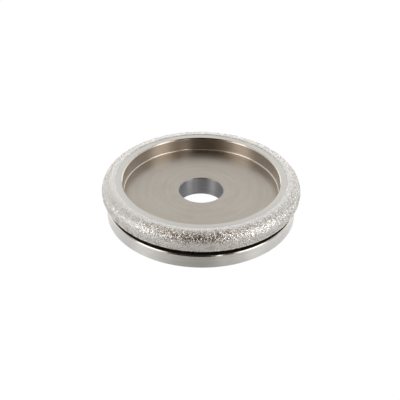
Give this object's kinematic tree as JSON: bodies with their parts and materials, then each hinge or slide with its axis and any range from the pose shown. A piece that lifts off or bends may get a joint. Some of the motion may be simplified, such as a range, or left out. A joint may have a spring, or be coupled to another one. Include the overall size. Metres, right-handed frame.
{
  "type": "diamond profile grinding wheel",
  "caption": "Cup-shaped steel grinding wheel with a rounded diamond-plated rim, a relief groove, a plain back flange and a plain centre bore.",
  "frame": {"origin": "centre of the back face, on the bore axis", "axes": "+Z along the bore axis, from the back face towards the clamping recess and the rounded rim; X and Y are any two directions across the wheel"},
  "size_m": [0.1, 0.1, 0.0201],
  "materials": {
    "plated_steel": "satin nickel-flashed turned steel, bare ground steel in the bore",
    "nickel": "matt electroplated nickel, grainy",
    "diamond": "faceted pale grit, sparkling"
  },
  "bodies": {
    "root": {"wheel_core": "plated_steel", "nickel_bond": "nickel", "diamond_grit": "diamond"}
  },
  "joints": []
}
